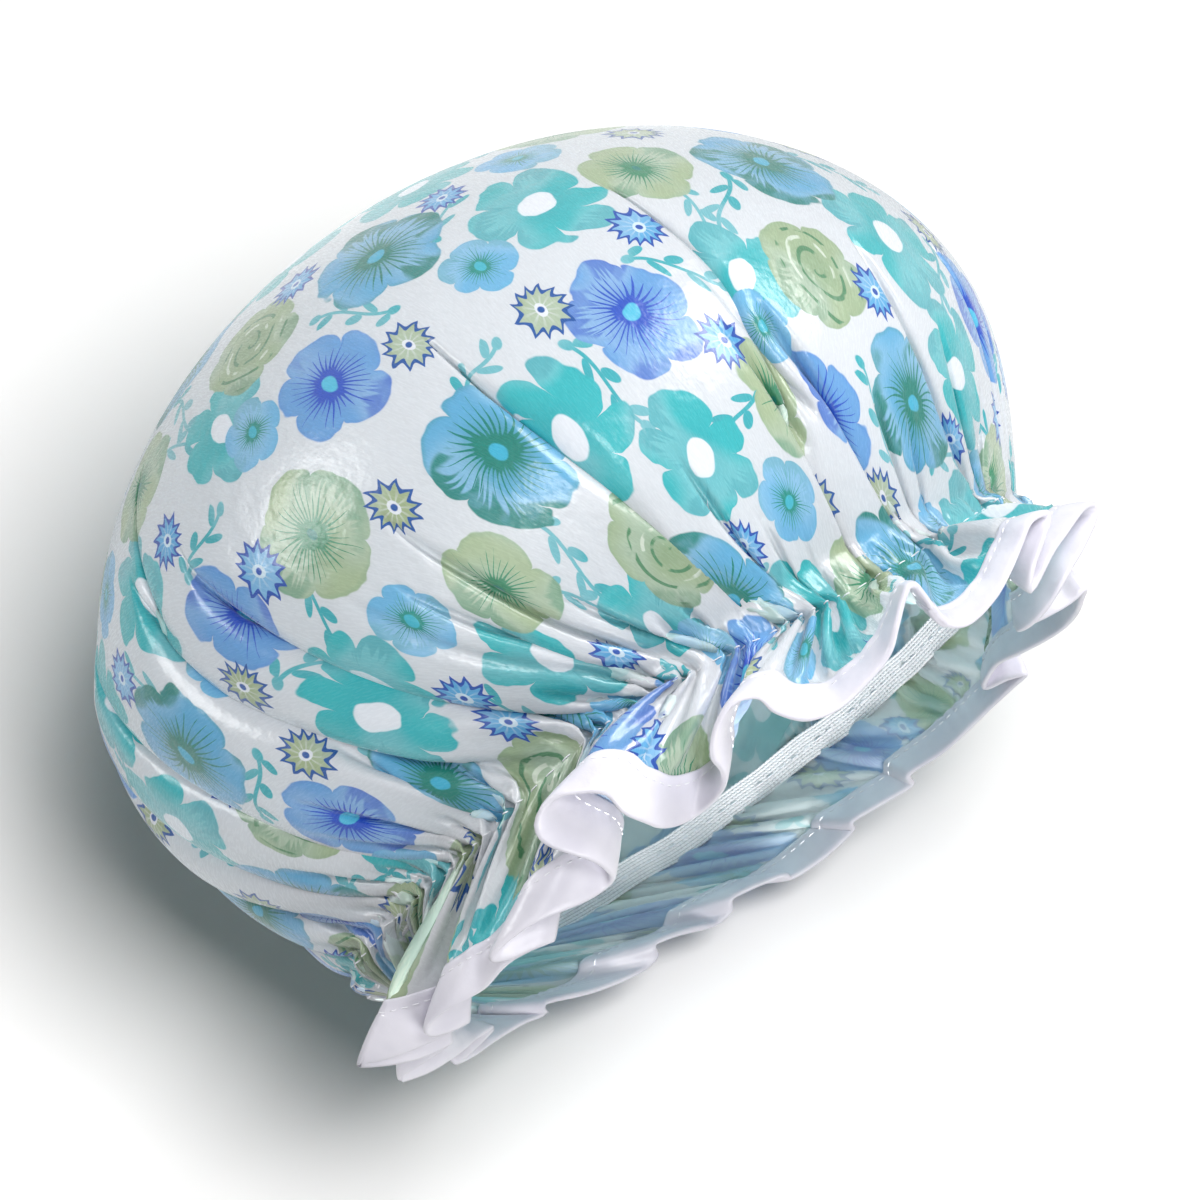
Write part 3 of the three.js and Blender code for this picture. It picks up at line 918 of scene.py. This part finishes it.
# The tape's lap, where its end lies over its start, and how its ends turn in under the tape's face
LAP_ANGLE, LAP_LENGTH, LAP_OFF_FLOOR = 71, 10.0, 0.2
LAP_LIFT, LAP_TUCKED = 0.4, -0.05


def cloth_row(grid, radius, at):
    """The grid's closed row at a radius on the flat disc."""
    rows = radius[:, 0]
    i = int(np.clip(np.searchsorted(rows, at) - 1, 0, len(rows) - 2))
    share = (at - rows[i]) / (rows[i + 1] - rows[i])
    return grid[i] * (1 - share) + grid[i + 1] * share


def tape_rows(points, normals, radius, lift=0.0):
    """Rows of the binding's section, from its lip outside round the edge to its lip inside."""
    rows = []
    for side, section in ((1, TAPE_SECTION), (-1, TAPE_SECTION[::-1])):
        for distance, height in section:
            at = EDGE_RADIUS - distance
            offset = side * (height + lift) - (LINING_GAP if side < 0 else 0)
            out = cloth_row(normals, radius, min(at, EDGE_RADIUS))
            rows.append(cloth_row(points, radius, at) + out * offset)
    return np.array(rows)


def add_binding(points, normals, radius, material):
    rows = tape_rows(points, normals, radius)
    faces = grid_faces(len(rows), rows.shape[1], flip=True)
    return add_part("edge_binding_tape", on_floor(rows, TAPE_OFF_FLOOR), faces, material)


def add_lap(points, normals, radius, material):
    """The binding's folded end, lapped over its start."""
    rows = tape_rows(points, normals, radius, LAP_LIFT)
    tucked = tape_rows(points, normals, radius, LAP_TUCKED)
    angle = np.arange(rows.shape[1]) * TURN / rows.shape[1]
    edge_angle = np.degrees(frill_edge(angle)[0])
    middle = int(np.argmin(np.abs(edge_angle - LAP_ANGLE)))
    span = LAP_LENGTH / (TURN * EDGE_RADIUS / rows.shape[1])
    raised = [(share, rows) for share in (-0.5, *np.linspace(-0.46, 0.46, 12), 0.5)]
    strips = []
    for share, source in [(-0.52, tucked), *raised, (0.52, tucked)]:
        at = middle + share * span
        low = int(math.floor(at))
        strips.append(source[:, low] * (low + 1 - at) + source[:, low + 1] * (at - low))
    strips = np.array(strips)
    faces = grid_faces(*strips.shape[:2], closed_columns=False, flip=True)
    return add_part("edge_binding_lap", on_floor(strips, LAP_OFF_FLOOR), faces, material)


def along_path(path, at, lengths):
    """Values of a closed path at lengths along it."""
    wrapped = np.vstack([path, path[:1]])
    return np.stack([np.interp(at % lengths[-1], lengths, wrapped[:, k]) for k in range(3)], -1)


def tube_faces(tubes, rings, sides):
    """Faces of many tubes, each closed at both ends."""
    count = rings * sides
    ends = [tuple(range(sides))[::-1], tuple(range(count - sides, count))]
    one = grid_faces(rings, sides, flip=True) + ends
    return [tuple(tube * count + corner for corner in face) for tube in range(tubes) for face in one]


def tubes_from(centres, normals, sizes, sides=6):
    """Tube walls round rows of centres: (tubes, rings, 3)."""
    along = unit(np.gradient(centres, axis=1))
    across = unit(np.cross(along, normals))
    out = np.cross(across, along)
    turn = np.arange(sides) * TURN / sides
    ring = across[:, :, None] * np.cos(turn)[:, None] + out[:, :, None] * np.sin(turn)[:, None]
    return centres[:, :, None] + ring * sizes[None, :, None, None]


def add_stitches(name, path, normals, material, pitch, length, lift):
    """Separate stitches along a closed path, each with its ends in the cloth."""
    lengths = running(np.linalg.norm(np.roll(path, -1, 0) - path, axis=1))
    count = int(lengths[-1] / pitch)
    shares = np.linspace(-1, 1, 7)
    at = np.arange(count)[:, None] * lengths[-1] / count + shares * length / 2
    centres = along_path(path, at, lengths)
    out = unit(along_path(normals, at, lengths))
    centres = centres + out * (lift - STITCH_SINK * np.abs(shares) ** 3)[None, :, None]
    sizes = STITCH_RADIUS * np.sqrt(1 - (0.97 * shares) ** 2)
    walls = tubes_from(centres, out, sizes)
    faces = tube_faces(count, len(shares), walls.shape[2])
    return add_part(name, walls, faces, material)


def add_elastic(material):
    """A flat band with lengthwise ribs inside the gather line."""
    angle = np.arange(RING_STEPS) * TURN / RING_STEPS
    at, outward = ring_frame(angle)
    share = np.linspace(-1, 1, 6 * ELASTIC_RIBS + 1)
    rib = RIB_DEPTH * np.sqrt(np.abs(np.sin((share + 1) / 2 * math.pi * ELASTIC_RIBS)))
    inner = [(s * ELASTIC_HALF, ELASTIC_FACE - RIB_DEPTH + r) for s, r in zip(share, rib)]
    section = inner + [(ELASTIC_HALF, ELASTIC_INSET + 0.2), (ELASTIC_HALF - 0.3, ELASTIC_INSET),
                       (0.3 - ELASTIC_HALF, ELASTIC_INSET), (-ELASTIC_HALF, ELASTIC_INSET + 0.2)]
    wave = 0.15 * np.cos(61 * angle) + 0.12 * np.cos(37 * angle + 1)
    sway = 0.3 * np.cos(11 * angle + 0.6) + 0.2 * np.cos(23 * angle)
    rows = []
    for height, inset in section:
        row = at - outward * (inset - wave)[:, None]
        row[:, 2] += height + sway
        rows.append(row)
    rows = np.array(rows)
    faces = grid_faces(len(rows), RING_STEPS, closed_rows=True)
    piece = add_part("elastic_ribbed_band", rows, faces, material)
    length = running(np.linalg.norm(np.diff(at, axis=0), axis=1))
    across = np.r_[(share + 1) / 2, 1, 1, 0, 0]
    weave = np.stack(np.broadcast_arrays(length, across[:, None], 0.0), -1)
    piece.data.attributes.new("weave", "FLOAT_VECTOR", "POINT").data.foreach_set("vector", weave.ravel())
    return piece


def add_tack(material):
    """Zigzag where the elastic's two ends lap."""
    count = 2 * TACK_TURNS * 8 + 1
    share = np.linspace(0, 1, count)
    angle = TACK_ANGLE + (share - 0.5) * TACK_LENGTH / RING_WIDE
    at, outward = ring_frame(angle)
    sweep = np.abs((share * 2 * TACK_TURNS) % 2 - 1) * 2 - 1
    centres = at - outward * (ELASTIC_FACE + 0.15)
    centres[:, 2] += sweep * (ELASTIC_HALF - 0.6)
    walls = tubes_from(centres[None], -outward[None], np.full(count, TACK_RADIUS))
    return add_part("elastic_zigzag_tack", walls, tube_faces(1, count, walls.shape[2]), material)


# Materials

def see_through(net, shader, colour, share):
    """Mixes in the light that comes through from behind the sheet."""
    behind = net.node("BsdfTranslucent", colour)
    mixed = net.node("MixShader", share, net.out(shader), net.out(behind))
    net.fill(net.tree.nodes["Material Output"], Surface=net.out(mixed))


def bump(net, shader, height, distance, strength):
    """A normal from a height in metres times distance."""
    made = net.node("Bump")
    net.fill(made, Strength=strength, Distance=distance, Height=height)
    net.fill(shader, Normal=net.out(made))


def satin_material():
    """Printed satin: crinkles a few mm apart, and fine floats along the warp that vary its gloss."""
    material, net, shader = new_material("printed_satin")
    flat = net.out(net.node("UVMap", uv_map="flat"))
    colour = print_colour(net, flat)
    drawn_out = net.node("Mapping", flat)
    net.fill(drawn_out, Scale=(1.0, 0.22, 1.0))
    floats = net.noise(net.out(drawn_out), 900, 2)
    bump(net, shader, net.noise(flat, 62, 3, 0.55) + floats * 0.05, 0.0010, 0.5)
    net.fill(shader, Base_Color=colour, Roughness=floats * 0.14 + 0.2, Specular_IOR_Level=0.75)
    net.fill(shader, Sheen_Weight=0.6, Sheen_Roughness=0.45)
    see_through(net, shader, colour, SATIN_THROUGH)
    return material


def film_material():
    """Milky film with the cloth's print showing through, with soft dents and a low gloss."""
    material, net, shader = new_material("milky_film")
    flat = net.out(net.node("UVMap", uv_map="flat"))
    cloud = net.noise(flat, 40, 3)
    colour = net.mix(cloud * 0.3 + 0.64, print_colour(net, flat), MILKY)
    bump(net, shader, net.noise(flat, 85, 3, 0.6), 0.002, 0.5)
    net.fill(shader, Base_Color=colour, Roughness=cloud * 0.2 + 0.3)
    see_through(net, shader, colour, FILM_THROUGH)
    return material


def tape_material():
    """Satin tape, slightly uneven in its surface and its sheen."""
    material, net, shader = new_material("binding_satin")
    at = net.out(net.node("TexCoord"), "Object")
    slub, soft = net.noise(at, 650, 2), net.noise(at, 90, 2)
    shade = net.mix(net.band(soft, 0.3, 0.7), linear(214, 212, 223), linear(228, 226, 235))
    bump(net, shader, soft + slub * 0.15, 0.0012, 0.5)
    net.fill(shader, Base_Color=shade, Roughness=slub * 0.16 + 0.24, Sheen_Weight=0.2)
    return material


def elastic_material():
    """Braided elastic: white ribs with the grooves between them painted grey as shade, and a knit across them
    with painted shade in its hollows.
    """
    material, net, shader = new_material("elastic_white")
    weave = net.out(net.node("Attribute", attribute_name="weave"), "Vector")
    along, across, _ = net.outs(net.node("SeparateXYZ", weave))
    rib = abs(net.sine(across * (math.pi * ELASTIC_RIBS)))
    knit = net.sine(along * (TURN / KNIT_PITCH) + rib * 1.6)
    raised = net.band(rib, 0.05, 0.6)
    # Painted shade: the grooves between the ribs are grey and the rib tops white.
    shade = net.mix(raised, linear(206, 203, 206), linear(248, 245, 247))
    # Painted shade: a little darker in the knit's hollows, where its bump is low.
    shade = net.mix(net.band(knit, 0.2, -0.8) * 0.15, shade, linear(222, 223, 228))
    bump(net, shader, knit, 0.00012, 0.7)
    net.fill(shader, Base_Color=shade, Roughness=raised * -0.12 + 0.7, Sheen_Weight=0.2)
    return material


def thread_material():
    """Twisted sewing thread."""
    material, net, shader = new_material("thread_white")
    twist = net.noise(net.out(net.node("TexCoord"), "Object"), 1800, 2)
    bump(net, shader, twist, 0.0001, 0.6)
    shade = net.mix(twist, linear(214, 214, 222), linear(250, 250, 253))
    net.fill(shader, Base_Color=shade, Roughness=twist * 0.2 + 0.45)
    return material


# The scene

def dress(piece, slot, *nodes):
    """Attaches the piece to its body and hides the CAD pieces that it replaces; the slot is not used."""
    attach(piece, BODY)
    if nodes:
        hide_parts(*nodes)
    return piece


view = add_camera()
ground_lamp, inside_lamp, *cap_lamps = [add_lamp(name, view, *values) for name, values in LAMPS.items()]
floor = add_stage()
light_link([ground_lamp], "floor_only", [floor], "INCLUDE")
light_link(cap_lamps, "all_but_floor", [floor], "EXCLUDE")

satin, film = satin_material(), film_material()
tape, rubber, thread = tape_material(), elastic_material(), thread_material()

points, flat, radius = make_cloth()
columns = points.shape[1]
normals = grid_normals(points)


def add_sheet(name, offset, material, flip):
    lifted = points + normals * offset
    whole = np.vstack([place(lifted).reshape(-1, 3), place(lifted[:1].mean(1))])
    verts, faces, used = used_only(whole, disc_faces(radius[:, 0], columns, flip))
    piece = add_mesh(name, verts, faces, material)
    print_on(piece, np.vstack([flat.reshape(-1, 2), [[0, 0]]])[used])
    return piece


outer = add_sheet("printed_cloth", 0.0, satin, False)
dress(outer, "satin_cloth", "crown_cloth", "frill_cloth")
lining = add_sheet("milky_lining", -LINING_GAP, film, True)
dress(lining, "lining_film", "crown_lining", "frill_lining")
binding = dress(add_binding(points, normals, radius, tape), "binding_tape", "edge_binding")
lap = dress(add_lap(points, normals, radius, tape), "binding_tape")
elastic = dress(add_elastic(rubber), "elastic", "elastic_band")
dress(add_tack(thread), "thread", "elastic_join_tack")

seam, seam_out = [cloth_row(grid, radius, EDGE_RADIUS - STITCH_LINE) for grid in (points, normals)]
gather, gather_out = [cloth_row(grid, radius, GATHER) for grid in (points, normals)]
ring, ring_out = ring_frame(np.arange(RING_STEPS) * TURN / RING_STEPS)
outside_seam, inside_seam, gather_inside, _ = [
    dress(add_stitches(name, start + out * lift, out, thread, *stitch), "thread", *nodes)
    for name, start, out, lift, stitch, *nodes in (
        ("binding_stitches_outside", seam, seam_out, TAPE_FACE, EDGE_STITCH, "binding_seam_thread"),
        ("binding_stitches_inside", seam, -seam_out, TAPE_FACE + LINING_GAP, EDGE_STITCH),
        ("gather_stitches_inside", ring, -ring_out, ELASTIC_FACE, INNER_STITCH, "gather_seam_thread"),
        ("gather_stitches_outside", gather, gather_out, 0, OUTER_STITCH),
    )
]
light_link([inside_lamp], "inside_only", [lining, elastic, inside_seam, gather_inside], "INCLUDE")
